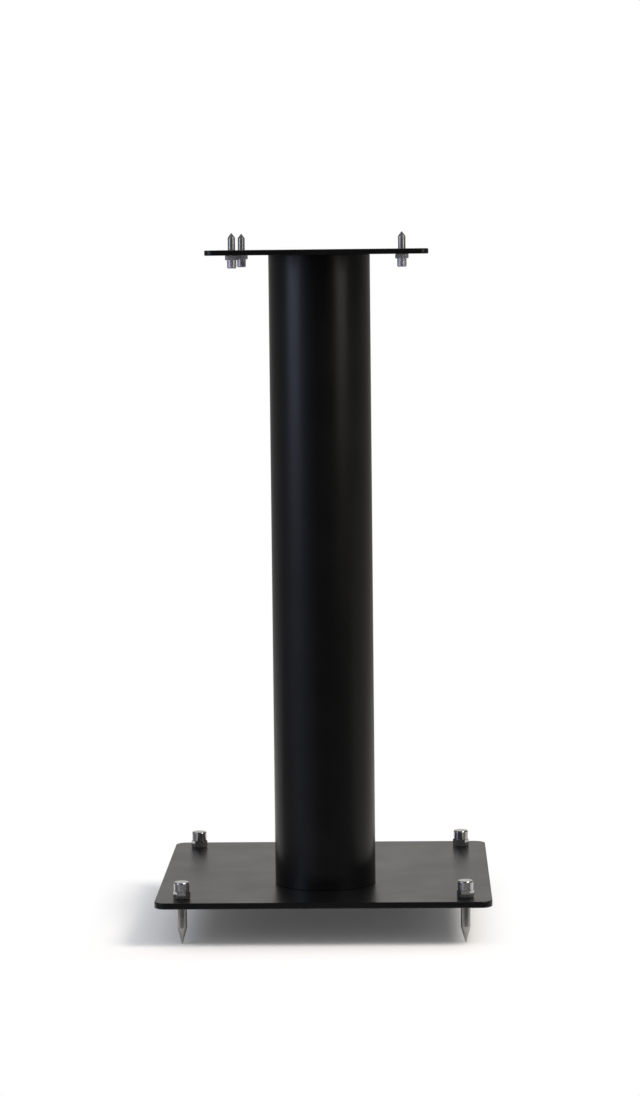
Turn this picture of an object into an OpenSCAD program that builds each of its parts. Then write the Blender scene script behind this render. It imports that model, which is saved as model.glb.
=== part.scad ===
// A loudspeaker stand: a round steel column between a square base plate and a smaller top plate.
// Four pointed spikes with lock nuts and caps level it on the floor, and four smaller ones carry the
// loudspeaker. Millimetres, +Z up, the front faces -Y, and the origin is on the floor under the base plate's
// centre.

/* [Base plate] */
// Width of the base plate, left to right
base_w = 292; // [250:1:400]
// Depth of the base plate, front to back
base_d = 292; // [250:1:400]
// Thickness of the base plate
base_t = 5.5; // [4:0.5:10]
// Radius of the base plate's four corners
base_corner_r = 10; // [3:0.5:20]
// Distance of the floor spike holes from the base plate's edges
base_hole_inset = 23; // [16:0.5:40]

/* [Column] */
// Outer diameter of the column tube
tube_d = 88.9; // [76:0.1:110]
// Wall thickness of the column tube
tube_wall = 3; // [2:0.5:6]
// Length of the column tube, from plate to plate
tube_l = 555; // [350:5:900]
// Distance of the column's axis behind the base plate's front edge
column_setback = 96; // [80:1:130]
// Thickness of the flanges welded into the tube's ends
flange_t = 8; // [6:0.5:14]
// Radial gap of a flange in the tube, filled by the weld
flange_gap = 0.05; // [0.02:0.01:0.1]

/* [Top plate] */
// Width of the top plate, left to right
top_w = 190; // [165:1:260]
// Depth of the top plate, front to back
top_d = 212; // [180:1:280]
// Thickness of the top plate
top_t = 4.5; // [3.5:0.5:8]
// Radius of the top plate's four corners
top_corner_r = 8; // [3:0.5:16]
// Distance of the upper spike holes from the top plate's edges
top_hole_inset = 22.5; // [12:0.5:30]
// Distance of the top plate's front edge behind the base plate's front edge
top_setback = 0; // [0:1:15]

/* [Floor spikes] */
// Diameter of the floor spikes' smooth body, below the base plate
spike_body_d = 8.5; // [8.5:0.5:12]
// Diameter of their thread, which goes up through the base plate
spike_thread_d = 8; // [6:0.5:8]
// Reach of the floor spikes below the base plate's underside
spike_reach = 34.5; // [28:0.5:50]
// Length of the floor spikes' cone
spike_cone_l = 14; // [8:0.5:20]
// Radius of the blunted end of the cone
spike_tip_r = 0.4; // [0.2:0.1:1]
// Width of the lower lock nuts across their flats
lower_nut_af = 13; // [12:0.5:17]
// Height of the lower lock nuts
lower_nut_h = 6.5; // [4:0.5:10]
// Diameter of the cylindrical caps on the floor spikes' threads
lower_cap_d = 13.5; // [11:0.5:18]
// Height of those caps
lower_cap_h = 8; // [6:0.5:14]
// Thickness of their closed end
lower_cap_end_t = 1.5; // [1:0.1:3]
// Chamfer round their upper edge
lower_cap_chamfer = 0.8; // [0.2:0.1:1.5]

/* [Upper spikes] */
// Diameter of the upper spikes' smooth body, above the top plate
point_body_d = 6.4; // [6.4:0.1:8]
// Diameter of their thread, which goes down through the top plate
point_thread_d = 6; // [4:0.5:6]
// Reach of the upper spikes above the top plate
point_reach = 14.5; // [8:0.5:25]
// Length of the upper spikes' cone
point_cone_l = 3.8; // [2:0.1:7]
// Radius of the blunted end of that cone
point_tip_r = 0.3; // [0.1:0.1:0.8]
// Width of the upper lock nuts across their flats
upper_nut_af = 10; // [9:0.5:13]
// Height of the upper lock nuts
upper_nut_h = 4; // [3:0.5:7]
// Diameter of the cylindrical caps on the upper spikes' threads
upper_cap_d = 8; // [7.5:0.5:10]
// Height of those caps
upper_cap_h = 7; // [5:0.5:12]
// Thickness of their closed end
upper_cap_end_t = 1.5; // [1:0.1:2.5]
// Chamfer round their lower edge
upper_cap_chamfer = 0.9; // [0.2:0.1:1.5]

/* [Fixing screws] */
// Thread diameter of the countersunk screws that hold the plates to the column
screw_d = 6; // [5:0.5:8]
// Diameter of their countersunk heads
screw_head_d = 12; // [11:0.5:16]
// Width across the flats of their hexagon sockets
screw_socket_af = 4; // [3:0.5:5]
// Depth of those sockets
screw_socket_depth = 2; // [1:0.5:2.5]
// How many screws hold each plate
screw_count = 4; // [3:1:6]
// Distance of the screws' axes inside the flange's rim
screw_edge = 14; // [10:0.5:18]

/* [Fits] */
// Radial clearance of a thread in its nut or its hole, and of a spike's shoulder in the hole's mouth
thread_gap = 0.05; // [0.02:0.01:0.1]
// Radial clearance of a fixing screw in its plate
shank_gap = 0.3; // [0.1:0.05:0.6]
// How far a fixing screw's head lies below the plate's face
head_recess = 0.2; // [0.1:0.05:0.5]
// Gap between a fixing screw's end and the flange's inner face
screw_end_gap = 1; // [0.5:0.5:2]
// Gap between a spike's thread end and the closed end of its cap
thread_end_gap = 0.3; // [0.1:0.1:1]

/* [Hidden] */
$fn = 64;
// Sides of a hexagon
hex_sides = 6;
// Share of a hexagon's width across corners that its chamfer leaves on the end faces
nut_bevel_share = 0.86;
// Overrun that makes every cut clean
cut = 1;

base_top = spike_reach + base_t;
top_under = base_top + tube_l;
top_face = top_under + top_t;
front_y = -base_d / 2;
column_y = front_y + column_setback;
top_centre_y = front_y + top_setback + top_d / 2;
tube_bore_d = tube_d - 2 * tube_wall;
flange_d = tube_bore_d - 2 * flange_gap;
screw_circle_r = flange_d / 2 - screw_edge;
spike_x = base_w / 2 - base_hole_inset;
spike_y = base_d / 2 - base_hole_inset;
point_x = top_w / 2 - top_hole_inset;
point_y = top_d / 2 - top_hole_inset;

steel_black = [0.07, 0.07, 0.08];
steel_bright = [0.72, 0.72, 0.70];
steel_grey = [0.45, 0.45, 0.44];
steel_bare = [0.30, 0.30, 0.31];

// Width of a hexagon across its corners, from its width across its flats
function across_corners(flats) = flats / cos(180 / hex_sides);

// A flat plate with round corners, its underside on z = 0, centred on the axis
module rounded_plate(w, d, t, r) {
    linear_extrude(t)
        union() {
            square([w - 2 * r, d], center = true);
            square([w, d - 2 * r], center = true);
            at_corners(w / 2 - r, d / 2 - r)
                circle(r = r);
        }
}

// Children at the four corners of a rectangle
module at_corners(x, y) {
    for (sx = [-1, 1], sy = [-1, 1])
        translate([sx * x, sy * y, 0])
            children();
}

// Children evenly round the column's axis, one for each fixing screw
module round_column() {
    for (i = [0 : screw_count - 1])
        translate([0, column_y, 0])
            rotate(360 / screw_count * (i + 0.5))
                translate([screw_circle_r, 0, 0])
                    children();
}

// A hexagon prism on z = 0 with its ends bevelled, as a nut's are
module bevelled_hex(flats, h) {
    corners = across_corners(flats);
    bevel = corners * (1 - nut_bevel_share) / 2 * tan(30);
    intersection() {
        cylinder(d = corners, h = h, $fn = hex_sides);
        union() {
            cylinder(d1 = corners * nut_bevel_share, d2 = corners, h = bevel);
            translate([0, 0, bevel])
                cylinder(d = corners, h = h - 2 * bevel);
            translate([0, 0, h - bevel])
                cylinder(d1 = corners, d2 = corners * nut_bevel_share, h = bevel);
        }
    }
}

// A nut on z = 0 for a thread of the given diameter
module lock_nut(flats, h, thread_d) {
    difference() {
        bevelled_hex(flats, h);
        translate([0, 0, -cut])
            cylinder(d = thread_d + 2 * thread_gap, h = h + 2 * cut);
    }
}

// A countersunk screw with its head's face on z = 0 and its thread along +Z
module countersunk_screw(length) {
    head_r = screw_head_d / 2;
    thread_r = screw_d / 2;
    difference() {
        rotate_extrude()
            polygon([[0, 0], [head_r, 0], [thread_r, head_r - thread_r], [thread_r, length], [0, length]]);
        translate([0, 0, -cut])
            cylinder(d = across_corners(screw_socket_af), h = screw_socket_depth + cut, $fn = hex_sides);
    }
}

// The hole for such a screw, from a plate's outer face at z = 0
module countersunk_hole(plate_t) {
    head_r = screw_head_d / 2 + shank_gap;
    shank_r = screw_d / 2 + shank_gap;
    cone_end = head_recess + head_r - shank_r;
    rotate_extrude()
        polygon([[0, -cut], [head_r, -cut], [head_r, head_recess], [shank_r, cone_end],
                 [shank_r, plate_t + cut], [0, plate_t + cut]]);
}

// A flange with its outer face on z = 0 and its threaded holes
module column_flange() {
    difference() {
        translate([0, column_y, 0])
            cylinder(d = flange_d, h = flange_t);
        round_column()
            translate([0, 0, -cut])
                cylinder(d = screw_d + 2 * thread_gap, h = flange_t + 2 * cut);
    }
}

// A cylindrical cap with its open end on z = 0, its closed and chamfered end above, and a blind threaded bore
module thread_cap(d, h, end_t, chamfer, thread_d) {
    difference() {
        union() {
            cylinder(d = d, h = h - chamfer);
            translate([0, 0, h - chamfer])
                cylinder(d1 = d, d2 = d - 2 * chamfer, h = chamfer);
        }
        translate([0, 0, -cut])
            cylinder(d = thread_d + 2 * thread_gap, h = h - end_t + cut);
    }
}

// A spike with its blunted tip on z = 0, then its cone, its smooth body, a bevelled shoulder and its thread
module spike(tip_r, cone_l, body_d, reach, thread_d, thread_l) {
    body_l = reach - cone_l;
    color(steel_grey)
    union() {
        cylinder(r1 = tip_r, r2 = body_d / 2, h = cone_l);
        translate([0, 0, cone_l]) {
            cylinder(d = body_d, h = body_l);
            cylinder(d = thread_d, h = body_l + thread_l);
            translate([0, 0, body_l])
                cylinder(d1 = body_d, d2 = thread_d, h = (body_d - thread_d) / 2);
        }
    }
}

// The threaded hole for such a spike, from the plate's face at z = 0, where its mouth seats the shoulder
module spike_hole(plate_t, body_d, thread_d) {
    mouth_r = body_d / 2 + thread_gap;
    thread_r = thread_d / 2 + thread_gap;
    rotate_extrude()
        polygon([[0, -cut], [mouth_r, -cut], [mouth_r, 0], [thread_r, mouth_r - thread_r],
                 [thread_r, plate_t + cut], [0, plate_t + cut]]);
}

// The square steel plate that the stand rests on, with threaded corner holes
module base_plate() {
    color(steel_black)
    difference() {
        translate([0, 0, spike_reach])
            rounded_plate(base_w, base_d, base_t, base_corner_r);
        translate([0, 0, spike_reach])
            at_corners(spike_x, spike_y)
                spike_hole(base_t, spike_body_d, spike_thread_d);
        translate([0, 0, spike_reach])
            round_column()
                countersunk_hole(base_t);
    }
}

// The hollow steel column between the plates
module column_tube() {
    color(steel_black)
    translate([0, column_y, base_top])
        difference() {
            cylinder(d = tube_d, h = tube_l, $fn = 128);
            translate([0, 0, -cut])
                cylinder(d = tube_bore_d, h = tube_l + 2 * cut, $fn = 128);
        }
}

// The flange welded into the column's foot
module column_bottom_flange() {
    color(steel_bare)
    translate([0, 0, base_top])
        column_flange();
}

// The flange welded into the column's top
module column_top_flange() {
    color(steel_bare)
    translate([0, 0, top_under - flange_t])
        column_flange();
}

// The plate that carries the loudspeaker, with threaded corner holes
module top_plate() {
    color(steel_black)
    difference() {
        translate([0, top_centre_y, top_under])
            rounded_plate(top_w, top_d, top_t, top_corner_r);
        translate([0, top_centre_y, top_face])
            mirror([0, 0, 1])
                at_corners(point_x, point_y)
                    spike_hole(top_t, point_body_d, point_thread_d);
        translate([0, 0, top_face])
            mirror([0, 0, 1])
                round_column()
                    countersunk_hole(top_t);
    }
}

// The countersunk screws that go up through the base plate into the column
module base_fixing_screws() {
    color(steel_bare)
    translate([0, 0, spike_reach + head_recess])
        round_column()
            countersunk_screw(base_t + flange_t - head_recess - screw_end_gap);
}

// The countersunk screws that go down through the top plate into the column
module top_fixing_screws() {
    color(steel_bare)
    translate([0, 0, top_face - head_recess])
        mirror([0, 0, 1])
            round_column()
                countersunk_screw(top_t + flange_t - head_recess - screw_end_gap);
}

// A floor spike at the corner with the given signs of X and Y, its shoulder in the base plate's underside
module floor_spike_at(sx, sy) {
    thread_l = base_t + lower_nut_h + lower_cap_h - lower_cap_end_t - thread_end_gap;
    translate([sx * spike_x, sy * spike_y, 0])
        spike(spike_tip_r, spike_cone_l, spike_body_d, spike_reach, spike_thread_d, thread_l);
}

// A lower lock nut at that corner, on the base plate
module lower_nut_at(sx, sy) {
    color(steel_bright)
    translate([sx * spike_x, sy * spike_y, base_top])
        lock_nut(lower_nut_af, lower_nut_h, spike_thread_d);
}

// A cap at that corner, on the lock nut
module lower_cap_at(sx, sy) {
    color(steel_bright)
    translate([sx * spike_x, sy * spike_y, base_top + lower_nut_h])
        thread_cap(lower_cap_d, lower_cap_h, lower_cap_end_t, lower_cap_chamfer, spike_thread_d);
}

// An upper spike at that corner, point up, its shoulder in the top plate's face
module upper_spike_at(sx, sy) {
    thread_l = top_t + upper_nut_h + upper_cap_h - upper_cap_end_t - thread_end_gap;
    translate([sx * point_x, top_centre_y + sy * point_y, top_face + point_reach])
        mirror([0, 0, 1])
            spike(point_tip_r, point_cone_l, point_body_d, point_reach, point_thread_d, thread_l);
}

// An upper lock nut at that corner, under the top plate
module upper_nut_at(sx, sy) {
    color(steel_grey)
    translate([sx * point_x, top_centre_y + sy * point_y, top_under - upper_nut_h])
        lock_nut(upper_nut_af, upper_nut_h, point_thread_d);
}

// An upper cap at that corner, closed end down, under the lock nut
module upper_cap_at(sx, sy) {
    color(steel_grey)
    translate([sx * point_x, top_centre_y + sy * point_y, top_under - upper_nut_h])
        mirror([0, 0, 1])
            thread_cap(upper_cap_d, upper_cap_h, upper_cap_end_t, upper_cap_chamfer, point_thread_d);
}

base_plate();
column_tube();
column_bottom_flange();
column_top_flange();
top_plate();
base_fixing_screws();
top_fixing_screws();
floor_spike_at(-1, -1);  // floor_spike_front_left
floor_spike_at(1, -1);  // floor_spike_front_right
floor_spike_at(-1, 1);  // floor_spike_back_left
floor_spike_at(1, 1);  // floor_spike_back_right
lower_nut_at(-1, -1);  // lower_nut_front_left
lower_nut_at(1, -1);  // lower_nut_front_right
lower_nut_at(-1, 1);  // lower_nut_back_left
lower_nut_at(1, 1);  // lower_nut_back_right
lower_cap_at(-1, -1);  // lower_cap_front_left
lower_cap_at(1, -1);  // lower_cap_front_right
lower_cap_at(-1, 1);  // lower_cap_back_left
lower_cap_at(1, 1);  // lower_cap_back_right
upper_spike_at(-1, -1);  // upper_spike_front_left
upper_spike_at(1, -1);  // upper_spike_front_right
upper_spike_at(-1, 1);  // upper_spike_back_left
upper_spike_at(1, 1);  // upper_spike_back_right
upper_nut_at(-1, -1);  // upper_nut_front_left
upper_nut_at(1, -1);  // upper_nut_front_right
upper_nut_at(-1, 1);  // upper_nut_back_left
upper_nut_at(1, 1);  // upper_nut_back_right
upper_cap_at(-1, -1);  // upper_cap_front_left
upper_cap_at(1, -1);  // upper_cap_front_right
upper_cap_at(-1, 1);  // upper_cap_back_left
upper_cap_at(1, 1);  // upper_cap_back_right
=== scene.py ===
"""A speaker stand: two black powder-coated steel plates on a round steel column, levelled by plated spikes.

Metres, +Z up, the front faces -Y, and the origin is on the floor under the base plate's centre.
"""

import bmesh
import bpy
import numpy as np
from mathutils import Matrix, Vector
from mathutils.geometry import tessellate_polygon


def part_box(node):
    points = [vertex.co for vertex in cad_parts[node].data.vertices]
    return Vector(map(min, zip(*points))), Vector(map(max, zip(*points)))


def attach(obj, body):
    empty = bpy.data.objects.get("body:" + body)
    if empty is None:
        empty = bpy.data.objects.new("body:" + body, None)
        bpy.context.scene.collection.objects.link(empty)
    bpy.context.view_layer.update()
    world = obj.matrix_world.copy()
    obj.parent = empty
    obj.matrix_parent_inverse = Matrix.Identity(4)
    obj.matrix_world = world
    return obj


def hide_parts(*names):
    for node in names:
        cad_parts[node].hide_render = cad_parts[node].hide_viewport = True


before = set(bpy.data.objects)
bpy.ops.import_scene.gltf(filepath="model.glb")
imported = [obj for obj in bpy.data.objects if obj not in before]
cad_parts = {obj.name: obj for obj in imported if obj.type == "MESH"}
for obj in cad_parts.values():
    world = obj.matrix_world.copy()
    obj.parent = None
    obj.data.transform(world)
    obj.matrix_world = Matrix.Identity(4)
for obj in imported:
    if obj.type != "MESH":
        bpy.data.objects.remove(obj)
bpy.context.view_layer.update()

# Column
# A length of round steel tube, sawn and deburred at both ends, with a flange welded into each.
# It is powder coated in satin black: dry paint powder is melted on in an oven, and sets with a faint orange
# peel and a fine grain.
MM = 0.001
TUBE_WALL = 3 * MM
TUBE_END_EASE = 0.5 * MM
COLUMN_SEGMENTS = 192
MERGE_GAP = 0.001 * MM
SHARP_EDGE_DEGREES = 50
COAT_BLACK = "#050506"
COAT_WORN = "#0a0a0b"
COAT_IOR = 1.5
COAT_ROUGH = (0.29, 0.34)
COAT_CLOUD = 45 * MM
COAT_PEEL = 1.3 * MM
COAT_PEEL_HEIGHT = 0.018 * MM
# The real grain is about 0.2 mm wide, which is too fine to show, so it is drawn twice as coarse.
COAT_GRAIN = 0.45 * MM
COAT_GRAIN_HEIGHT = 0.014 * MM
# Nearly all of a noise pattern's values lie between these two.
NOISE_SPAN = (0.3, 0.7)
# A Mix node's colour sockets go by number, because its sockets for numbers and vectors have the same names.
COLOUR_A, COLOUR_B, COLOUR_MIXED = 6, 7, 2


def full_turn(count):
    """Evenly spaced angles round the axis, the last one short of the first."""
    return np.arange(count) * 2 * np.pi / count


def eased(path, reach, steps=4):
    """Rounds a path's corners: each becomes the circular arc that touches both its legs at `reach` from it.

    The arc is ((1-t)^2 start + 2 w t (1-t) corner + t^2 end) / ((1-t)^2 + 2 w t (1-t) + t^2) as t goes from 0
    to 1, where w is the sine of half the angle between the legs. The path is an array of corners x columns x
    (radius, height), and its last corner leads to its first. reach is one number or one for each corner,
    and a reach of zero leaves the corner sharp.
    """
    reach = np.reshape(np.broadcast_to(reach, len(path)), (-1, 1, 1))
    legs = [np.roll(path, shift, axis=0) - path for shift in (1, -1)]
    ways = [leg / np.linalg.norm(leg, axis=-1, keepdims=True) for leg in legs]
    start, end = path + reach * ways[0], path + reach * ways[1]
    cosine = np.sum(ways[0] * ways[1], axis=-1, keepdims=True)
    weight = np.sqrt((1 - cosine) / 2)
    t = np.linspace(0, 1, steps + 1).reshape(-1, 1, 1)
    first, middle, last = (1 - t) ** 2, 2 * t * (1 - t), t ** 2
    arcs = first * start[:, None] + weight[:, None] * middle * path[:, None] + last * end[:, None]
    arcs = arcs / (first + weight[:, None] * middle + last)
    return arcs.reshape(-1, *path.shape[1:])


def lathe_path(*corners):
    """The corners of a turned piece's outline, (radius, height) each, as a path of one column."""
    return np.array(corners, float)[:, None, :]


def turned(path, angles, centre, pull=0.0):
    """Points of a turned surface, rows x columns x 3: (radius cos angle, radius sin angle, height) + centre.

    A path of one column is the same all round. A path of many has its own radius and height at each angle.
    pull moves each column sideways, which draws the corners of a plate's outline apart.
    """
    radius, height = np.moveaxis(np.broadcast_to(path, (len(path), len(angles), 2)), -1, 0)
    points = np.stack([radius * np.cos(angles), radius * np.sin(angles), height], axis=-1)
    points[..., :2] += pull
    return points + np.array(centre)


def grid_faces(points):
    """Four-sided faces between neighbouring rows of a grid whose last column meets its first."""
    rows, columns = points.shape[:2]
    row, column = np.mgrid[0:rows - 1, 0:columns]
    beside = (column + 1) % columns
    corners = [row * columns + column, row * columns + beside,
               (row + 1) * columns + beside, (row + 1) * columns + column]
    return np.stack(corners, axis=-1).reshape(-1, 4)


def new_piece(name, surfaces, material, body, nodes):
    """One object from surfaces of (points, faces), merged along seams and poles with its faces outwards.

    Its normals are weighted by face size, which keeps flat faces flat beside their rounded edges.
    """
    points = np.concatenate([grid.reshape(-1, 3) for grid, _ in surfaces])
    starts = np.cumsum([0] + [grid.size // 3 for grid, _ in surfaces])
    faces = [face for start, (_, part) in zip(starts, surfaces) for face in (part + start).tolist()]
    mesh = bpy.data.meshes.new(name)
    mesh.from_pydata(points.tolist(), [], faces)
    work = bmesh.new()
    work.from_mesh(mesh)
    bmesh.ops.remove_doubles(work, verts=work.verts, dist=MERGE_GAP)
    bmesh.ops.dissolve_degenerate(work, edges=work.edges, dist=MERGE_GAP / 10)
    bmesh.ops.recalc_face_normals(work, faces=work.faces)
    work.to_mesh(mesh)
    work.free()
    mesh.shade_smooth()
    mesh.set_sharp_from_angle(angle=np.radians(SHARP_EDGE_DEGREES))
    mesh.materials.append(material)
    piece = bpy.data.objects.new(name, mesh)
    bpy.context.collection.objects.link(piece)
    piece.modifiers.new("flat_faces_stay_flat", "WEIGHTED_NORMAL").keep_sharp = True
    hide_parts(*nodes)
    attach(piece, body)
    return piece


def linear_colour(hex_text):
    """sRGB to linear light: c / 12.92 up to 0.04045, and ((c + 0.055) / 1.055) to the power 2.4 above it."""
    srgb = np.array([int(hex_text[i:i + 2], 16) for i in (1, 3, 5)]) / 255
    linear = np.where(srgb <= 0.04045, srgb / 12.92, ((srgb + 0.055) / 1.055) ** 2.4)
    return (*linear.tolist(), 1.0)


def add_node(tree, kind, inputs=None, **settings):
    """Adds one shader node. In inputs, another node's output is linked, and any other value is set."""
    node = tree.nodes.new("ShaderNode" + kind)
    for name, value in settings.items():
        setattr(node, name, value)
    for name, value in (inputs or {}).items():
        if isinstance(value, bpy.types.NodeSocket):
            tree.links.new(value, node.inputs[name])
        else:
            node.inputs[name].default_value = value
    return node


def new_material(name):
    """An empty material, its node tree, and the piece's own coordinates to draw patterns on.

    The coordinates are in metres, so a pattern's scale is one over its real size.
    """
    material = bpy.data.materials.new(name)
    material.use_nodes = True
    tree = material.node_tree
    tree.nodes.clear()
    return material, tree, add_node(tree, "TexCoord").outputs["Object"]


def satin_powder_coat():
    """Satin black polyester powder coat: a broad soft sheen, broken up by orange peel and by fine grain."""
    material, tree, place = new_material("satin_black_powder_coat")
    cloud = add_node(tree, "TexNoise", {"Vector": place, "Scale": 1 / COAT_CLOUD, "Detail": 3.0})
    peel = add_node(tree, "TexNoise", {"Vector": place, "Scale": 1 / COAT_PEEL, "Detail": 1.0})
    grain = add_node(tree, "TexNoise", {"Vector": place, "Scale": 1 / COAT_GRAIN, "Detail": 1.0})
    colour = add_node(tree, "Mix", {"Factor": cloud.outputs["Fac"], COLOUR_A: linear_colour(COAT_BLACK),
                                    COLOUR_B: linear_colour(COAT_WORN)}, data_type="RGBA")
    rough = add_node(tree, "MapRange", {"Value": cloud.outputs["Fac"],
                                        "From Min": NOISE_SPAN[0], "From Max": NOISE_SPAN[1],
                                        "To Min": COAT_ROUGH[0], "To Max": COAT_ROUGH[1]})
    coarse = add_node(tree, "Bump", {"Height": peel.outputs["Fac"], "Distance": COAT_PEEL_HEIGHT})
    fine = add_node(tree, "Bump", {"Height": grain.outputs["Fac"], "Distance": COAT_GRAIN_HEIGHT,
                                   "Normal": coarse.outputs["Normal"]})
    shader = add_node(tree, "BsdfPrincipled", {"Base Color": colour.outputs[COLOUR_MIXED], "IOR": COAT_IOR,
                                               "Roughness": rough.outputs["Result"],
                                               "Normal": fine.outputs["Normal"]})
    add_node(tree, "OutputMaterial", {"Surface": shader.outputs["BSDF"]})
    return material


powder_coat = satin_powder_coat()
column_low, column_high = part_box("column_tube")
column_axis = (column_low + column_high) / 2
column_r = (column_high.x - column_low.x) / 2
column_path = lathe_path((column_r - TUBE_WALL, column_high.z), (column_r - TUBE_WALL, column_low.z),
                         (column_r, column_low.z), (column_r, column_high.z))
column_path = eased(column_path, TUBE_END_EASE)
column_path = np.concatenate([column_path, column_path[:1]])
column_points = turned(column_path, full_turn(COLUMN_SEGMENTS), (column_axis.x, column_axis.y, 0))
new_piece("coated_column", [(column_points, grid_faces(column_points))], powder_coat,
          "stand", ["column_tube"])

# Column flanges
# Two steel discs turned to fit the tube's bore, welded in its ends, and drilled and tapped for the screws.
# They stay bare, so they keep the mill's dull grey. Nobody sees them once the plates are on.
MILL_GREY = "#6f6e6c"
MILL_DARK = "#4b4a49"
MILL_ROUGH = (0.45, 0.65)
MILL_SCALE = 3 * MM
MILL_SCALE_HEIGHT = 0.02 * MM


def mill_finish_steel():
    """Bare hot-rolled steel: a dull grey metal with uneven, slightly darker patches of scale."""
    material, tree, place = new_material("mill_finish_steel")
    scale = add_node(tree, "TexNoise", {"Vector": place, "Scale": 1 / MILL_SCALE, "Detail": 5.0})
    colour = add_node(tree, "Mix", {"Factor": scale.outputs["Fac"], COLOUR_A: linear_colour(MILL_DARK),
                                    COLOUR_B: linear_colour(MILL_GREY)}, data_type="RGBA")
    rough = add_node(tree, "MapRange", {"Value": scale.outputs["Fac"],
                                        "To Min": MILL_ROUGH[0], "To Max": MILL_ROUGH[1]})
    bump = add_node(tree, "Bump", {"Height": scale.outputs["Fac"], "Distance": MILL_SCALE_HEIGHT})
    shader = add_node(tree, "BsdfPrincipled", {"Base Color": colour.outputs[COLOUR_MIXED], "Metallic": 1.0,
                                               "Roughness": rough.outputs["Result"],
                                               "Normal": bump.outputs["Normal"]})
    add_node(tree, "OutputMaterial", {"Surface": shader.outputs["BSDF"]})
    return material


bare_steel = mill_finish_steel()
for flange in ("column_bottom_flange", "column_top_flange"):
    flange_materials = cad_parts[flange].data.materials
    flange_materials.clear()
    flange_materials.append(bare_steel)

# Base plate
# A square of steel plate, laser cut with round corners and drilled: a threaded hole near each corner for a
# floor spike, and four countersunk holes under the column. Its edges are eased, and it is coated like the
# column.
CORNERS = ("front_left", "front_right", "back_left", "back_right")
BASE_CORNER_R = 10 * MM
BASE_EDGE_R = 0.9 * MM
CORNER_STEPS = 12
EDGE_STEPS = 6
HOLE_SEGMENTS = 64
FLOOR_THREAD_R = 4 * MM
THREAD_GAP = 0.05 * MM
SCREW_HEAD_R = 6 * MM
SCREW_SHANK_R = 3 * MM
SCREW_GAP = 0.3 * MM
HEAD_RECESS = 0.2 * MM


def hole_path(plate_low, plate_high, mouth_at_top, mouth_r, mouth_depth, wall_r):
    """A hole with a mouth at one face: mouth_depth straight in, a 45 degree cone to wall_r, and the wall."""
    face, way = (plate_high, -1) if mouth_at_top else (plate_low, 1)
    other_face = plate_low if mouth_at_top else plate_high
    straight = [(mouth_r, face + way * mouth_depth)] if mouth_depth else []
    cone_end = face + way * (mouth_depth + mouth_r - wall_r)
    return lathe_path((mouth_r, face), *straight, (wall_r, cone_end), (wall_r, other_face))


def plate_surfaces(low, high, corner_r, edge_r, holes):
    """The surfaces of a flat plate: a rim with round edges, a wall for each hole, and the two faces.

    The rim is a turned surface of radius corner_r whose quarters are pulled apart to the four corners.
    holes is a list of (centre x, centre y, path), and each face is triangles between the rim and the holes.
    """
    quarter = np.linspace(0, np.pi / 2, CORNER_STEPS)
    angles = np.concatenate([quarter + turn * np.pi / 2 for turn in range(4)])
    to_corner = (np.array(high) - np.array(low))[:2] / 2 - corner_r
    signs = np.array([(1, 1), (-1, 1), (-1, -1), (1, -1)])
    pull = np.repeat(signs * to_corner, CORNER_STEPS, axis=0)
    inner_r = corner_r - 2 * edge_r
    rim_path = lathe_path((inner_r, low.z), (corner_r, low.z), (corner_r, high.z), (inner_r, high.z))
    rim_path = eased(rim_path, (0, edge_r, edge_r, 0), EDGE_STEPS)
    middle = (low + high) / 2
    rim = turned(rim_path, angles, (middle.x, middle.y, 0), pull)
    walls = [turned(path, full_turn(HOLE_SEGMENTS), (x, y, 0)) for x, y, path in holes]
    surfaces = [(grid, grid_faces(grid)) for grid in [rim] + walls]
    for height in (low.z, high.z):
        loops = [grid[0] if np.isclose(grid[0, 0, 2], height) else grid[-1] for grid in [rim] + walls]
        triangles = tessellate_polygon([[Vector(point) for point in loop] for loop in loops])
        surfaces.append((np.concatenate(loops), np.array(triangles)))
    return surfaces


base_low, base_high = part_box("base_plate")
floor_spike_low, floor_spike_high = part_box("floor_spike_front_right")
floor_spike_r = (floor_spike_high.x - floor_spike_low.x) / 2
floor_spike_places = [sum(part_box("floor_spike_" + corner), Vector()) / 2 for corner in CORNERS]
screw_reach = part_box("base_fixing_screws")[1].x - column_axis.x - SCREW_HEAD_R
screw_places = [(column_axis.x + x * screw_reach, column_axis.y + y * screw_reach)
                for x in (-1, 1) for y in (-1, 1)]
screw_mouth_r = SCREW_HEAD_R + SCREW_GAP
screw_wall_r = SCREW_SHANK_R + SCREW_GAP
base_screw_hole = hole_path(base_low.z, base_high.z, False, screw_mouth_r, HEAD_RECESS, screw_wall_r)
base_spike_hole = hole_path(base_low.z, base_high.z, False, floor_spike_r + THREAD_GAP, 0,
                            FLOOR_THREAD_R + THREAD_GAP)
base_holes = [(place.x, place.y, base_spike_hole) for place in floor_spike_places]
base_holes += [(x, y, base_screw_hole) for x, y in screw_places]
new_piece("coated_base_plate", plate_surfaces(base_low, base_high, BASE_CORNER_R, BASE_EDGE_R, base_holes),
          powder_coat, "stand", ["base_plate"])

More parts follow.
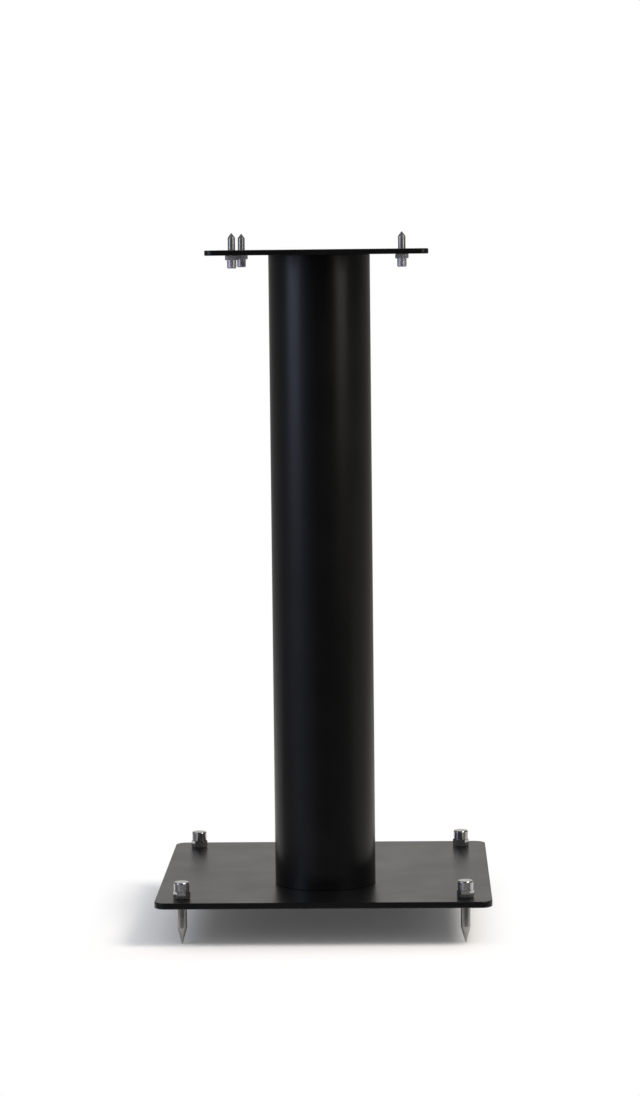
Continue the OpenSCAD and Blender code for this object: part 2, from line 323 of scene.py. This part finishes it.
# Top plate
# The thinner steel plate that carries the loudspeaker, cut, drilled and coated as the base plate is.
# Its holes for the upper spikes are countersunk from above, and so are those for the fixing screws.
TOP_CORNER_R = 8 * MM
TOP_EDGE_R = 0.8 * MM
UPPER_THREAD_R = 3 * MM
top_low, top_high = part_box("top_plate")
upper_spike_low, upper_spike_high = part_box("upper_spike_front_right")
upper_spike_r = (upper_spike_high.x - upper_spike_low.x) / 2
upper_spike_places = [sum(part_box("upper_spike_" + corner), Vector()) / 2 for corner in CORNERS]
top_screw_hole = hole_path(top_low.z, top_high.z, True, screw_mouth_r, HEAD_RECESS, screw_wall_r)
top_spike_hole = hole_path(top_low.z, top_high.z, True, upper_spike_r + THREAD_GAP, 0,
                           UPPER_THREAD_R + THREAD_GAP)
top_holes = [(place.x, place.y, top_spike_hole) for place in upper_spike_places]
top_holes += [(x, y, top_screw_hole) for x, y in screw_places]
new_piece("coated_top_plate", plate_surfaces(top_low, top_high, TOP_CORNER_R, TOP_EDGE_R, top_holes),
          powder_coat, "stand", ["top_plate"])

# Fixing screws
# Four countersunk M6 socket screws hold each plate to its flange: up from below, and down from above.
# They are forged in alloy steel and blackened in hot oxide salts, which leaves them dark and slightly oily.
SCREW_EASE = 0.2 * MM
SOCKET_FLATS = 4 * MM
SOCKET_CORNER_R = 0.1 * MM
SOCKET_DEPTH = 2 * MM
SOCKET_DRILL_DEPTH = 0.5 * MM
HEX_STEPS = 12
OXIDE_BLACK = "#434347"
OXIDE_RUB = 1.5 * MM
OXIDE_ROUGH = (0.25, 0.5)
# The oxide and its oil scatter a fifth of the light, and the steel under them mirrors the rest.
OXIDE_METAL = 0.8


def hexagon_angles():
    """Angles round a hexagon, crowded towards its corners: the offset from a corner grows with its cube."""
    offset = np.linspace(-1, 1, HEX_STEPS, endpoint=False) ** 3 * np.pi / 6
    return np.concatenate([corner * np.pi / 3 + offset for corner in range(6)])


def hexagon_radius(flats, corner_r, angles):
    """Distance of a hexagon's edge from its axis, with corners on +X and every 60 degrees.

    Along a flat it is the half width over the cosine of the angle from the flat's middle. Near a corner it is
    that of a circle of corner_r about a point at (half width - corner_r) / cos 30 out.
    """
    from_corner = np.abs((angles + np.pi / 6) % (np.pi / 3) - np.pi / 6)
    flat = flats / 2 / np.cos(np.pi / 6 - from_corner)
    out = (flats / 2 - corner_r) / np.cos(np.pi / 6)
    touch = np.arctan2(corner_r / 2, out + corner_r * np.cos(np.pi / 6))
    inside = np.maximum(corner_r ** 2 - (out * np.sin(from_corner)) ** 2, 0)
    round_corner = out * np.cos(from_corner) + np.sqrt(inside)
    return np.where(from_corner < touch, round_corner, flat)


def all_round(radius, height, columns):
    """One corner of a path at every angle: radius and height are numbers or one value for each column."""
    return np.stack([np.broadcast_to(radius, columns), np.broadcast_to(height, columns)], axis=-1)


def screw_surface(x, y, head_z, way, length):
    """A countersunk screw: a straight shank, a 45 degree cone under a flat head, and a socket in the head.

    The socket is a hexagon with a drilled point at its bottom, and its mouth is eased half as far as the
    outside. way is +1 if the head faces up.
    """
    angles = hexagon_angles()
    count = len(angles)
    socket = hexagon_radius(SOCKET_FLATS, SOCKET_CORNER_R, angles)
    cone = SCREW_HEAD_R - SCREW_SHANK_R
    path = np.stack([all_round(0, -length, count), all_round(SCREW_SHANK_R, -length, count),
                     all_round(SCREW_SHANK_R, -cone, count), all_round(SCREW_HEAD_R, 0, count),
                     all_round(socket, 0, count), all_round(socket, -SOCKET_DEPTH, count),
                     all_round(0, -SOCKET_DEPTH - SOCKET_DRILL_DEPTH, count)])
    path = eased(path, np.array((0, 1, 1, 1, 0.5, 0, 0)) * SCREW_EASE, steps=3)
    path[..., 1] *= way
    grid = turned(path, angles, (x, y, head_z))
    return grid, grid_faces(grid)


def black_oxide_steel():
    """Hot black oxide on alloy steel: a dark, slightly oily metal, smoother where a key has rubbed it."""
    material, tree, place = new_material("black_oxide_steel")
    rub = add_node(tree, "TexNoise", {"Vector": place, "Scale": 1 / OXIDE_RUB, "Detail": 3.0})
    rough = add_node(tree, "MapRange", {"Value": rub.outputs["Fac"],
                                        "To Min": OXIDE_ROUGH[0], "To Max": OXIDE_ROUGH[1]})
    shader = add_node(tree, "BsdfPrincipled", {"Base Color": linear_colour(OXIDE_BLACK),
                                               "Metallic": OXIDE_METAL,
                                               "Roughness": rough.outputs["Result"]})
    add_node(tree, "OutputMaterial", {"Surface": shader.outputs["BSDF"]})
    return material


black_oxide = black_oxide_steel()
for node, way in (("base_fixing_screws", -1), ("top_fixing_screws", 1)):
    low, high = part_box(node)
    head_z = high.z if way > 0 else low.z
    screws = [screw_surface(x, y, head_z, way, high.z - low.z) for x, y in screw_places]
    new_piece("blackened_" + node, screws, black_oxide, "stand", [node])

# Floor spikes
# Each is turned from steel bar: a long point, a smooth body and an M8 thread that screws up into the base
# plate until the body's shoulder meets it. It is thinly plated, and shows fine rings from the turning tool.
SPIKE_CONE_L = 14 * MM
SPIKE_TIP_R = 0.4 * MM
TIP_ROUNDING = 0.7
SPIKE_CONE_EASE = 0.6 * MM
SPIKE_SHOULDER_EASE = 0.05 * MM
SPIKE_SEGMENTS = 48
FLOOR_PITCH = 1.25 * MM
THREAD_ROWS_A_PITCH = 10
# A metric thread is 0.61 of its pitch deep.
THREAD_DEPTH = 0.61
GROOVE_STRETCH = 1.25
GROOVE_DROP = 0.15
STEEL_BRIGHT = "#a9a8a3"
STEEL_DARK = "#94928e"
# A lathe's real rings are about 0.15 mm apart, which is too fine to show, so they are drawn coarser.
TURNING_PITCH = 0.4 * MM
RING_SHARE = 0.02
SMUDGE = 5 * MM
SMUDGE_ROUGH = (0.9, 1.15)


def thread_rows(low, high, major_r, pitch, angles):
    """Rows of a screw thread from low to high: radius = major_r - THREAD_DEPTH * pitch * groove * fade.

    groove is a triangle wave of height / pitch - angle / turn. It is stretched by GROOVE_STRETCH and lowered
    by GROOVE_DROP before it is cut off at 0 and 1, which leaves the crest flat for an eighth of the pitch,
    and the root for a little less. fade grows from 0 to 1 over one pitch at each end.
    """
    count = int(round((high - low) / pitch * THREAD_ROWS_A_PITCH))
    height = np.broadcast_to(np.linspace(low, high, count)[:, None], (count, len(angles)))
    phase = (height / pitch - angles / (2 * np.pi)) % 1
    groove = np.clip(GROOVE_STRETCH * np.abs(2 * phase - 1) - GROOVE_DROP, 0, 1)
    fade = np.clip(np.minimum(height - low, high - height) / pitch, 0, 1)
    return np.stack([major_r - THREAD_DEPTH * pitch * groove * fade, height], axis=-1)


def spike_surface(place, tip_z, way, reach, length, cone_l, tip_r, body_r, thread_r, pitch):
    """A spike from its rounded tip: the cone, the body, a 45 degree shoulder at reach, and the thread.

    The tip is a flat of radius tip_r, whose edge is eased over TIP_ROUNDING of that. way is +1 if the spike
    points down, so that its heights grow upwards from the tip.
    """
    angles = full_turn(SPIKE_SEGMENTS)
    shoulder = reach + body_r - thread_r
    smooth = lathe_path((0, 0), (tip_r, 0), (body_r, cone_l), (body_r, reach), (thread_r, shoulder))
    smooth = eased(smooth, (0, TIP_ROUNDING * tip_r, SPIKE_CONE_EASE, SPIKE_SHOULDER_EASE, 0), steps=5)
    smooth = np.broadcast_to(smooth, (len(smooth), SPIKE_SEGMENTS, 2))
    end_r = thread_r - THREAD_DEPTH * pitch
    thread = thread_rows(shoulder, length - (thread_r - end_r), thread_r, pitch, angles)
    end = np.stack([all_round(end_r, length, SPIKE_SEGMENTS), all_round(0, length, SPIKE_SEGMENTS)])
    path = np.concatenate([smooth, thread, end])
    path[..., 1] *= way
    grid = turned(path, angles, (place.x, place.y, tip_z))
    return grid, grid_faces(grid)


def turned_steel(name, bright, dark, roughness, ring_height, film):
    """Steel turned on a lathe and plated: a bright metal with fine rings round it and faint smudges.

    film is the share of the light that the plating's thin clear film scatters instead of mirroring. The rings
    are noise stretched sideways: its scale across the axis is RING_SHARE of that along it. SMUDGE_ROUGH is
    what the smudges multiply the roughness by.
    """
    material, tree, place = new_material(name)
    stretched = add_node(tree, "Mapping", {"Vector": place, "Scale": (RING_SHARE, RING_SHARE, 1.0)})
    rings = add_node(tree, "TexNoise", {"Vector": stretched.outputs["Vector"], "Scale": 1 / TURNING_PITCH,
                                        "Detail": 2.0})
    smudge = add_node(tree, "TexNoise", {"Vector": place, "Scale": 1 / SMUDGE, "Detail": 2.0})
    colour = add_node(tree, "Mix", {"Factor": smudge.outputs["Fac"], COLOUR_A: linear_colour(dark),
                                    COLOUR_B: linear_colour(bright)}, data_type="RGBA")
    rough = add_node(tree, "MapRange", {"Value": smudge.outputs["Fac"],
                                        "From Min": NOISE_SPAN[0], "From Max": NOISE_SPAN[1],
                                        "To Min": roughness * SMUDGE_ROUGH[0],
                                        "To Max": roughness * SMUDGE_ROUGH[1]})
    bump = add_node(tree, "Bump", {"Height": rings.outputs["Fac"], "Distance": ring_height})
    shader = add_node(tree, "BsdfPrincipled", {"Base Color": colour.outputs[COLOUR_MIXED],
                                               "Metallic": 1 - film, "Roughness": rough.outputs["Result"],
                                               "Normal": bump.outputs["Normal"]})
    add_node(tree, "OutputMaterial", {"Surface": shader.outputs["BSDF"]})
    return material


spike_steel = turned_steel("turned_bright_steel", STEEL_BRIGHT, STEEL_DARK, roughness=0.24,
                           ring_height=0.004 * MM, film=0.08)
for corner, place in zip(CORNERS, floor_spike_places):
    node = "floor_spike_" + corner
    low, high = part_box(node)
    spike = spike_surface(place, low.z, 1, base_low.z - low.z, high.z - low.z, SPIKE_CONE_L, SPIKE_TIP_R,
                          floor_spike_r, FLOOR_THREAD_R, FLOOR_PITCH)
    new_piece("turned_" + node, [spike], spike_steel, node, [node])

# Lock nuts on the base plate
# A standard M8 hexagon nut locks each floor spike. It is cold forged with both ends chamfered, tapped, and
# plated in bright nickel.
NUT_CHAMFER_SHARE = 0.86
NUT_CHAMFER_LEAST = 0.3 * MM
NUT_BORE_CHAMFER = 0.5 * MM
NUT_CORNER_R = 0.25 * MM
NUT_EASE = 0.1 * MM
NICKEL = "#cfcecd"
NICKEL_DULL = "#bab8b8"


def nut_surface(low, high, thread_r):
    """A hexagon nut with its flats' width along Y, as a closed path from the bore over both chamfered ends.

    Each end is flat out to NUT_CHAMFER_SHARE of the corners' radius, and a cone beyond. So where the chamfer
    meets a side, it has come down by (hexagon radius - flat circle's radius) * tan 30.
    """
    angles = hexagon_angles()
    count = len(angles)
    flats = high.y - low.y
    side = hexagon_radius(flats, NUT_CORNER_R, angles)
    face_r = flats / 2 / np.cos(np.pi / 6) * NUT_CHAMFER_SHARE
    depth = np.maximum(side - face_r, NUT_CHAMFER_LEAST) * np.tan(np.pi / 6)
    face_r = np.minimum(face_r, side - NUT_CHAMFER_LEAST)
    bore_r = thread_r + THREAD_GAP
    mouth_r = bore_r + NUT_BORE_CHAMFER
    path = np.stack([all_round(bore_r, low.z + NUT_BORE_CHAMFER, count), all_round(mouth_r, low.z, count),
                     all_round(face_r, low.z, count), all_round(side, low.z + depth, count),
                     all_round(side, high.z - depth, count), all_round(face_r, high.z, count),
                     all_round(mouth_r, high.z, count), all_round(bore_r, high.z - NUT_BORE_CHAMFER, count)])
    path = eased(path, np.array((0, 1, 1, 1, 1, 1, 1, 0)) * NUT_EASE, steps=3)
    path = np.concatenate([path, path[:1]])
    middle = (low + high) / 2
    grid = turned(path, angles, (middle.x, middle.y, 0))
    return grid, grid_faces(grid)


nickel = turned_steel("bright_nickel_plate", NICKEL, NICKEL_DULL, roughness=0.14, ring_height=0.006 * MM,
                      film=0.07)
for corner in CORNERS:
    node = "lower_nut_" + corner
    nut = nut_surface(*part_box(node), FLOOR_THREAD_R)
    new_piece("plated_" + node, [nut], nickel, node, [node])

# Caps on the floor spikes
# A turned cap with a blind thread covers the end of each spike above its nut. Its closed end has a steep
# chamfer, which goes in by CHAMFER_LEAN of its height. It is plated in bright nickel like the nut.
CAP_END_T = 1.5 * MM
LOWER_CAP_CHAMFER = 1.15 * MM
CHAMFER_LEAN = 0.55
CAP_EASE = 0.12 * MM
CAP_SEGMENTS = 96


def cap_surface(low, high, closed_end_up, chamfer, thread_r):
    """A cylindrical cap, from the bore's end out over the wall to the middle of the closed end.

    Its corners are eased, and both edges of the chamfer twice as far as the others.
    """
    outer_r = (high.x - low.x) / 2
    bore_r = thread_r + THREAD_GAP
    length = high.z - low.z
    path = lathe_path((0, length - CAP_END_T), (bore_r, length - CAP_END_T), (bore_r, 0), (outer_r, 0),
                      (outer_r, length - chamfer), (outer_r - CHAMFER_LEAN * chamfer, length), (0, length))
    path = eased(path, np.array((0, 1, 1, 1, 2, 2, 0)) * CAP_EASE)
    path[..., 1] = low.z + path[..., 1] if closed_end_up else high.z - path[..., 1]
    middle = (low + high) / 2
    grid = turned(path, full_turn(CAP_SEGMENTS), (middle.x, middle.y, 0))
    return grid, grid_faces(grid)


for corner in CORNERS:
    node = "lower_cap_" + corner
    cap = cap_surface(*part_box(node), True, LOWER_CAP_CHAMFER, FLOOR_THREAD_R)
    new_piece("plated_" + node, [cap], nickel, node, [node])

# Upper spikes
# Smaller spikes of the same make stand up through the top plate, so that the loudspeaker rests on four tips.
# They have a short point and an M6 thread, and their plating is a little paler.
POINT_CONE_L = 3.8 * MM
POINT_TIP_R = 0.3 * MM
UPPER_PITCH = 1.0 * MM
PALE_BRIGHT = "#b4b3b2"
PALE_DARK = "#9f9e9d"
pale_steel = turned_steel("turned_pale_steel", PALE_BRIGHT, PALE_DARK, roughness=0.2, ring_height=0.004 * MM,
                          film=0.12)
for corner, place in zip(CORNERS, upper_spike_places):
    node = "upper_spike_" + corner
    low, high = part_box(node)
    spike = spike_surface(place, high.z, -1, high.z - top_high.z, high.z - low.z, POINT_CONE_L, POINT_TIP_R,
                          upper_spike_r, UPPER_THREAD_R, UPPER_PITCH)
    new_piece("turned_" + node, [spike], pale_steel, node, [node])

# Lock nuts and caps under the top plate
# M6 nuts and small caps of the same kind lock the upper spikes from below. They are zinc plated and
# passivated, which gives a grey that is cooler than the nickel's, slightly lilac, and duller.
UPPER_CAP_CHAMFER = 0.9 * MM
ZINC = "#dddbe3"
ZINC_DULL = "#cbc9d2"
zinc = turned_steel("passivated_zinc_plate", ZINC, ZINC_DULL, roughness=0.36, ring_height=0.002 * MM,
                    film=0.24)
for corner in CORNERS:
    node = "upper_nut_" + corner
    nut = nut_surface(*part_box(node), UPPER_THREAD_R)
    new_piece("plated_" + node, [nut], zinc, node, [node])
    node = "upper_cap_" + corner
    cap = cap_surface(*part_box(node), False, UPPER_CAP_CHAMFER, UPPER_THREAD_R)
    new_piece("plated_" + node, [cap], zinc, node, [node])

# Studio
# A white sheet lies under the stand and a lit white backdrop hangs behind it, in an otherwise dim room.
# Two tall windows, a cool one on the left and a weaker warm one on the right, give the column its two soft
# streaks.
FLOOR_SIZE = 40.0
FLOOR_WHITE = "#f8f8f8"
WHITE = (1.0, 1.0, 1.0, 1.0)
# The sheet shows its shadow in a square of half width SHADE_HALF, whose middle is at -SHADE_SHIFT. There the
# white backdrop's share is SHEET_GLOW, and it grows to the whole over SHADE_FADE round the square.
SHADE_HALF = 0.129
SHADE_SHIFT = (0.024, 0.016, 0)
SHADE_FADE = 0.07
SHEET_GLOW = 0.04
# Reflections lose the sheet between these distances from the origin, and between these y at its front edge.
SHEET_FADE = (0.2, 0.36)
SHEET_FRONT = (-0.11, -0.23)
# Past the sheet they see the room, and a pale strip across the floor that comes in and goes out over these y.
STRIP_NEAR = (-0.25, -0.3)
STRIP_FAR = (-0.48, -0.4)
STRIP_TONE = "#6c6c6f"
# The world's even light on matt surfaces.
AMBIENT = 0.62
# The room's tones in reflections, by degrees to the right of the camera. ROOM is seen all round, and ROOM_LOW
# in a band round LOW_MIDDLE degrees below the horizon, which is what the hardware on the base plate mirrors.
# The band is even to LOW_EVEN degrees from its middle, and gone at LOW_FADE.
ROOM = ((-180, "#d8d6d1"), (-162, "#b4b2ae"), (-145, "#7e7c7a"), (-110, "#606064"), (-80, "#6b6a73"),
        (-60, "#7f8190"), (-30, "#5a5b66"), (-12, "#232327"), (25, "#222220"), (60, "#373633"),
        (100, "#4a4948"), (135, "#7c7975"), (162, "#9e9c98"), (180, "#d8d6d1"))
ROOM_LOW = ((-180, "#fafaf8"), (-120, "#f2f1ee"), (-106, "#6a6a6a"), (-50, "#5c5c62"), (-34, "#8b8a98"),
            (-20, "#54535a"), (5, "#444442"), (18, "#50504c"), (32, "#2a2a28"), (64, "#2f2e2a"),
            (80, "#e8e5df"), (180, "#fafaf8"))
LOW_MIDDLE = 11.5
LOW_FADE = 3.5
LOW_EVEN = 1.0
# The softboxes face STAND_MIDDLE. Each has its name, degrees to the right of the camera, degrees up,
# distance, width and height in metres, watts and colour. The last value is True if it shows as a shine on
# smooth surfaces, and False if it lights matt ones, so that each can be set by itself.
STAND_MIDDLE = Vector((0, 0, 0.35))
SOFTBOXES = (("window_left", -58, 16, 1.85, 0.95, 1.0, 5, "#cfdcff", True),
             ("window_right", 49, 15, 1.25, 0.5, 0.35, 0.95, "#fff6ea", True),
             ("skylight_right", 50, 40, 2.5, 1.6, 0.45, 10, "#ffffff", True),
             ("fill_right", 58, 41, 1.8, 0.8, 0.7, 25, "#fff4e6", False),
             ("fill_left", -60, 35, 1.8, 0.6, 0.8, 8, "#e6ebff", False))


def studio_floor():
    """A white sheet that keeps the stand's shadow and turns into the white backdrop further out.

    The camera and reflections both see that backdrop, but reflections see no more of the floor than the lit
    sheet round the stand: past it they see the room through the floor, and the pale strip in front.
    From below the floor is clear, so that it doesn't hide the stand's underside.
    """
    material, tree, place = new_material("white_studio_sweep")
    path = add_node(tree, "LightPath")
    axes = add_node(tree, "SeparateXYZ", {"Vector": place})
    distance = add_node(tree, "VectorMath", {0: place}, operation="LENGTH").outputs["Value"]
    moved = add_node(tree, "VectorMath", {0: place, 1: SHADE_SHIFT}, operation="ADD")
    reach = add_node(tree, "VectorMath", {0: moved.outputs[0]}, operation="ABSOLUTE")
    reach_axes = add_node(tree, "SeparateXYZ", {"Vector": reach.outputs[0]})
    outline = add_node(tree, "Math", {0: reach_axes.outputs["X"], 1: reach_axes.outputs["Y"]},
                       operation="MAXIMUM")
    backdrop = add_node(tree, "MapRange", {"Value": outline.outputs[0], "From Min": SHADE_HALF,
                                           "From Max": SHADE_HALF + SHADE_FADE, "To Min": SHEET_GLOW},
                        interpolation_type="SMOOTHSTEP")
    front = add_node(tree, "MapRange", {"Value": axes.outputs["Y"], "From Min": SHEET_FRONT[0],
                                        "From Max": SHEET_FRONT[1]}, interpolation_type="SMOOTHSTEP")
    around = add_node(tree, "MapRange", {"Value": distance, "From Min": SHEET_FADE[0],
                                         "From Max": SHEET_FADE[1]}, interpolation_type="SMOOTHSTEP")
    past_sheet = add_node(tree, "Math", {0: front.outputs[0], 1: around.outputs[0]}, operation="MAXIMUM")
    mirrored = add_node(tree, "Math", {0: path.outputs["Is Glossy Ray"],
                                       1: path.outputs["Is Transmission Ray"]}, operation="MAXIMUM")
    looked_at = add_node(tree, "Math", {0: path.outputs["Is Camera Ray"], 1: mirrored.outputs[0]},
                         operation="MAXIMUM")
    to_backdrop = add_node(tree, "Math", {0: backdrop.outputs[0], 1: looked_at.outputs[0]},
                           operation="MULTIPLY")
    to_room = add_node(tree, "Math", {0: past_sheet.outputs[0], 1: mirrored.outputs[0]}, operation="MULTIPLY")
    strip_near = add_node(tree, "MapRange", {"Value": axes.outputs["Y"], "From Min": STRIP_NEAR[0],
                                             "From Max": STRIP_NEAR[1]}, interpolation_type="SMOOTHSTEP")
    strip_far = add_node(tree, "MapRange", {"Value": axes.outputs["Y"], "From Min": STRIP_FAR[0],
                                            "From Max": STRIP_FAR[1]}, interpolation_type="SMOOTHSTEP")
    strip = add_node(tree, "Math", {0: strip_near.outputs[0], 1: strip_far.outputs[0]}, operation="MULTIPLY")
    below = add_node(tree, "NewGeometry").outputs["Backfacing"]
    sheet = add_node(tree, "BsdfDiffuse", {"Color": linear_colour(FLOOR_WHITE)})
    white = add_node(tree, "Emission", {"Color": WHITE, "Strength": 1.0})
    room = add_node(tree, "BsdfTransparent")
    glow = add_node(tree, "Emission", {"Color": linear_colour(STRIP_TONE), "Strength": strip.outputs[0]})
    beyond = add_node(tree, "AddShader", {0: room.outputs[0], 1: glow.outputs[0]})
    seen = add_node(tree, "MixShader", {0: to_backdrop.outputs[0], 1: sheet.outputs[0], 2: white.outputs[0]})
    above = add_node(tree, "MixShader", {0: to_room.outputs[0], 1: seen.outputs[0], 2: beyond.outputs[0]})
    whole = add_node(tree, "MixShader", {0: below, 1: above.outputs[0], 2: room.outputs[0]})
    add_node(tree, "OutputMaterial", {"Surface": whole.outputs[0]})
    return material


def studio_world():
    """White to the camera, an even soft light on matt surfaces, and to polished ones the room.

    The room's tone follows the direction's azimuth, arctan2(x, -y), which is 0 towards the camera. ROOM_LOW
    takes over as abs(z + sin LOW_MIDDLE) falls from LOW_FADE to LOW_EVEN, both in radians.
    """
    world = bpy.data.worlds.new("studio")
    world.use_nodes = True
    tree = world.node_tree
    tree.nodes.clear()
    path = add_node(tree, "LightPath")
    axes = add_node(tree, "SeparateXYZ", {"Vector": add_node(tree, "TexCoord").outputs["Generated"]})
    ahead = add_node(tree, "Math", {0: axes.outputs["Y"], 1: -1.0}, operation="MULTIPLY")
    azimuth = add_node(tree, "Math", {0: axes.outputs["X"], 1: ahead.outputs[0]}, operation="ARCTAN2")
    turn = add_node(tree, "MapRange", {"Value": azimuth.outputs[0], "From Min": -np.pi, "From Max": np.pi})
    tones = []
    for colours in (ROOM, ROOM_LOW):
        tones.append(add_node(tree, "ValToRGB", {"Fac": turn.outputs["Result"]}))
        stops = tones[-1].color_ramp.elements
        stops[0].color, stops[1].color = linear_colour(colours[0][1]), linear_colour(colours[-1][1])
        for degrees, hex_text in colours[1:-1]:
            stops.new(degrees / 360 + 0.5).color = linear_colour(hex_text)
    lift = add_node(tree, "Math", {0: axes.outputs["Z"], 1: np.sin(np.radians(LOW_MIDDLE))}, operation="ADD")
    off_middle = add_node(tree, "Math", {0: lift.outputs[0]}, operation="ABSOLUTE")
    in_band = add_node(tree, "MapRange", {"Value": off_middle.outputs[0], "From Min": np.radians(LOW_FADE),
                                          "From Max": np.radians(LOW_EVEN)}, interpolation_type="SMOOTHSTEP")
    tone = add_node(tree, "Mix", {"Factor": in_band.outputs[0], COLOUR_A: tones[0].outputs["Color"],
                                  COLOUR_B: tones[1].outputs["Color"]}, data_type="RGBA")
    mirrored = add_node(tree, "Math", {0: path.outputs["Is Glossy Ray"],
                                       1: path.outputs["Is Transmission Ray"]}, operation="MAXIMUM")
    even = add_node(tree, "Background", {"Color": WHITE, "Strength": AMBIENT})
    white = add_node(tree, "Background", {"Color": WHITE, "Strength": 1.0})
    room = add_node(tree, "Background", {"Color": tone.outputs[COLOUR_MIXED], "Strength": 1.0})
    lit = add_node(tree, "MixShader", {0: mirrored.outputs[0], 1: even.outputs[0], 2: room.outputs[0]})
    seen = add_node(tree, "MixShader", {0: path.outputs["Is Camera Ray"], 1: lit.outputs[0],
                                        2: white.outputs[0]})
    add_node(tree, "OutputWorld", {"Surface": seen.outputs[0]})
    bpy.context.scene.world = world


def soft_light(name, azimuth, elevation, distance, width, height, power, colour, shines):
    """A softbox that faces the stand's middle, from azimuth degrees right of the camera and elevation up."""
    turn, rise = np.radians(azimuth), np.radians(elevation)
    way = Vector((np.sin(turn) * np.cos(rise), -np.cos(turn) * np.cos(rise), np.sin(rise)))
    lamp = bpy.data.lights.new(name, "AREA")
    lamp.shape = "RECTANGLE"
    lamp.size, lamp.size_y = width, height
    lamp.energy = power
    lamp.color = linear_colour(colour)[:3]
    light = bpy.data.objects.new(name, lamp)
    light.location = STAND_MIDDLE + way * distance
    light.rotation_euler = way.to_track_quat("Z", "Y").to_euler()
    light.visible_camera = False
    light.visible_diffuse = not shines
    light.visible_glossy = shines
    bpy.context.collection.objects.link(light)


half = FLOOR_SIZE / 2
floor_mesh = bpy.data.meshes.new("floor")
floor_mesh.from_pydata([(-half, -half, 0), (half, -half, 0), (half, half, 0), (-half, half, 0)], [],
                       [(0, 1, 2, 3)])
floor_mesh.materials.append(studio_floor())
floor = bpy.data.objects.new("floor", floor_mesh)
bpy.context.collection.objects.link(floor)
studio_world()
for softbox in SOFTBOXES:
    soft_light(*softbox)

# Camera
# It stands almost three metres in front of the stand, level with the top plate. From straight ahead it looks
# down and to its left, and it leans a little to one side, all in radians.
CAMERA_PLACE = (0.0763, -2.9311, 0.6017)
CAMERA_LENS = 107.95
CAMERA_REACH = 100
CAMERA_DOWN = 0.09141
CAMERA_LEFT = 0.0271
CAMERA_LEAN = 0.01067
camera = bpy.data.objects.new("camera", bpy.data.cameras.new("camera"))
camera.data.lens = CAMERA_LENS
camera.data.clip_end = CAMERA_REACH
look = (Matrix.Rotation(CAMERA_LEFT, 4, "Z") @ Matrix.Rotation(np.pi / 2 - CAMERA_DOWN, 4, "X")
        @ Matrix.Rotation(-CAMERA_LEAN, 4, "Z"))
camera.matrix_world = Matrix.Translation(CAMERA_PLACE) @ look
bpy.context.collection.objects.link(camera)
bpy.context.scene.camera = camera
bpy.context.scene.view_settings.view_transform = "Standard"
